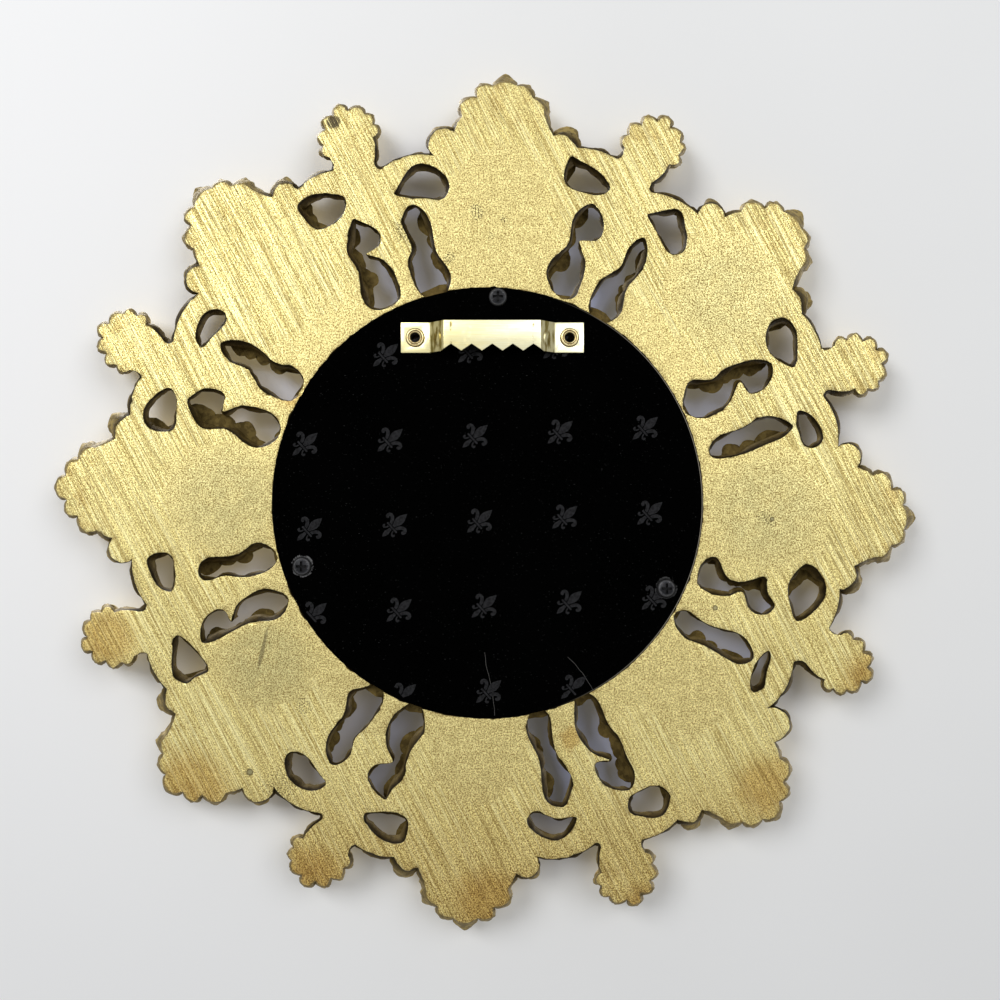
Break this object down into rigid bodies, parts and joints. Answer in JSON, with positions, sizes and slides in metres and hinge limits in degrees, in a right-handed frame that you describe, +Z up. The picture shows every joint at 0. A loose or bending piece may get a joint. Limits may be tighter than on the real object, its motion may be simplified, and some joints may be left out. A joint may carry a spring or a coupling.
{
  "type": "ornate mirror",
  "caption": "Round wall mirror in a pierced cast frame of leaves and palmettes, with a back panel and a sawtooth hanger.",
  "frame": {"origin": "centre of the round back panel, in the plane of the frame's flat back", "axes": "+Z up as the mirror hangs, +Y out of the flat back towards the wall, the glass faces -Y"},
  "size_m": [0.3082, 0.0234, 0.3066],
  "materials": {
    "gilt_casting": "sprayed champagne gold over cast resin, flat back sanded, dark in the recesses",
    "mirror_plate": "polished float glass with a ground bevel, silvered behind",
    "silvering": "silver film under a coat of paint",
    "soft_pad": "thin felt disc",
    "fibreboard": "hard fibreboard",
    "black_sheet": "matt black printed sheet, dusty",
    "dark_steel": "blackened steel with worn rims",
    "pale_brass": "bright brass plating",
    "rivet_brass": "brown-gold brass",
    "plain_steel": "zinc-plated steel"
  },
  "bodies": {
    "root": {"frame": "gilt_casting", "mirror_glass": "mirror_plate", "silver_coat": "silvering", "cushion_pad": "soft_pad", "back_board": "fibreboard", "back_sheet": "black_sheet", "screw_top": "dark_steel", "screw_lower_left": "dark_steel", "screw_lower_right": "dark_steel", "hanger_plate": "pale_brass", "rivet_left": "rivet_brass", "rivet_right": "rivet_brass", "rivet_washer_left": "plain_steel", "rivet_washer_right": "plain_steel"}
  },
  "joints": []
}
